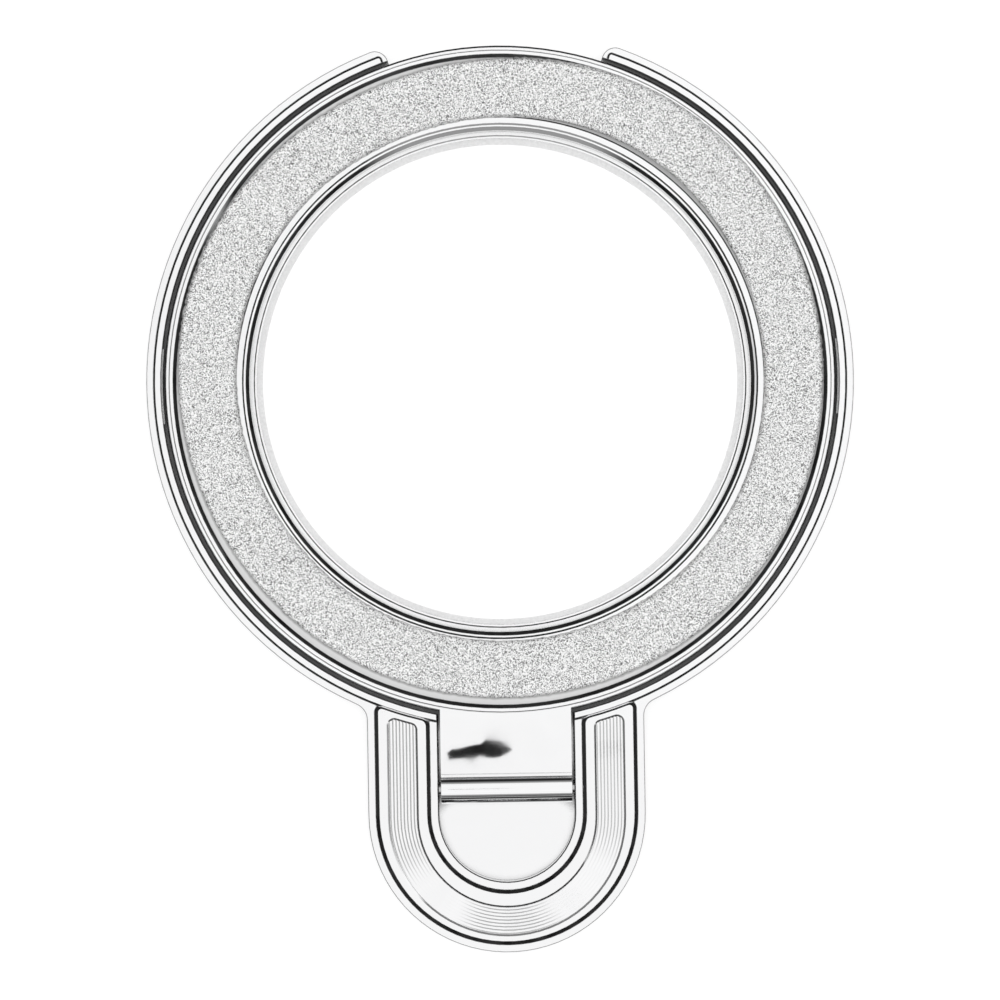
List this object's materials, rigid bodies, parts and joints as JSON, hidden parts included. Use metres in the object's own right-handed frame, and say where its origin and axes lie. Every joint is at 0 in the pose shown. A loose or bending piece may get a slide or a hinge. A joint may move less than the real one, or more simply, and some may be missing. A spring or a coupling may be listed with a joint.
{
  "type": "magnetic phone ring holder",
  "caption": "Chromed magnetic ring holder for the back of a phone: a glitter grip ring folds out of a round frame on a hinge in a U-shaped tab.",
  "frame": {"origin": "centre of the magnet ring on the phone face", "axes": "+Z out of the decorated face, away from the phone; +Y from the tab towards the nail notch; +X along the hinge pin"},
  "size_m": [0.062, 0.0794, 0.0047],
  "materials": {
    "frame_chrome": "polished",
    "ring_chrome": "polished",
    "glitter": "glitter",
    "pin_steel": "satin",
    "silicone": "matte",
    "magnet_nickel": "satin"
  },
  "bodies": {
    "frame": {"base_frame": "frame_chrome", "hinge_pin": "pin_steel", "backing_pad": "silicone", "magnet_01": "magnet_nickel", "magnet_02": "magnet_nickel", "magnet_03": "magnet_nickel", "magnet_04": "magnet_nickel", "magnet_05": "magnet_nickel", "magnet_06": "magnet_nickel", "magnet_07": "magnet_nickel", "magnet_08": "magnet_nickel", "magnet_09": "magnet_nickel", "magnet_10": "magnet_nickel", "magnet_11": "magnet_nickel", "magnet_12": "magnet_nickel", "magnet_13": "magnet_nickel", "magnet_14": "magnet_nickel", "magnet_15": "magnet_nickel", "magnet_16": "magnet_nickel", "magnet_17": "magnet_nickel", "magnet_18": "magnet_nickel"},
    "ring": {"grip_ring": "ring_chrome", "glitter_inlay": "glitter"}
  },
  "joints": [
    {"name": "ring_flip", "type": "hinge", "parent": "frame", "child": "ring", "pos_m": [0, -0.0357, 0.0033], "axis": [1, 0, 0], "range_deg": [0, 145]}
  ]
}
